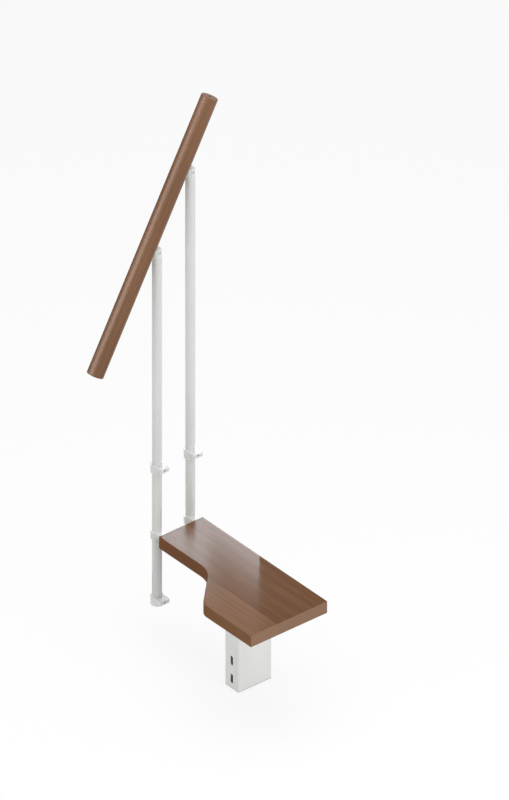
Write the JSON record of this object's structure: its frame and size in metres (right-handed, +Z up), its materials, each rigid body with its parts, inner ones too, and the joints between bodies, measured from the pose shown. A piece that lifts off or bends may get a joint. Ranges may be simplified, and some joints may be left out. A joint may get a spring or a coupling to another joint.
{
  "type": "stair step unit",
  "caption": "Paddle stair step with swept front edge on a box column, with two balusters, collar brackets and a length of sloping round handrail.",
  "frame": {"origin": "middle of the column's lower bolt pair, on the face that meets the column below", "axes": "+Z up, +Y the way the stair climbs, +X towards the tread's wide free end"},
  "size_m": [0.6099, 0.4567, 1.7585],
  "materials": {
    "stained_beech": "glued beech staves, brown stain under clear satin-gloss varnish",
    "light_grey_coat": "light grey powder coat on steel",
    "light_grey_casting": "die casting, light grey powder coat",
    "grey_plastic": "moulded, fine matt",
    "zinc_steel": "bright zinc plate",
    "brass_inserts": "machined"
  },
  "bodies": {
    "root": {"tread": "stained_beech", "handrail": "stained_beech", "column_tube": "light_grey_coat", "column_top_plate": "light_grey_coat", "column_foot_cap": "grey_plastic", "column_weld_nuts": "zinc_steel", "plate_screws": "zinc_steel", "bracket_bolts": "zinc_steel", "bracket_set_screws": "zinc_steel", "tread_inserts": "brass_inserts", "saddle_screws": "zinc_steel", "front_baluster_tube": "light_grey_coat", "rear_baluster_tube": "light_grey_coat", "front_baluster_foot_plug": "grey_plastic", "rear_baluster_foot_plug": "grey_plastic", "front_baluster_head": "light_grey_casting", "rear_baluster_head": "light_grey_casting", "front_pivot_screw": "zinc_steel", "rear_pivot_screw": "zinc_steel", "front_rail_saddle": "light_grey_coat", "rear_rail_saddle": "light_grey_coat", "front_baluster_lower_bracket": "light_grey_casting", "front_baluster_middle_bracket": "light_grey_casting", "front_baluster_upper_bracket": "light_grey_casting", "rear_baluster_lower_bracket": "light_grey_casting", "rear_baluster_upper_bracket": "light_grey_casting"}
  },
  "joints": []
}
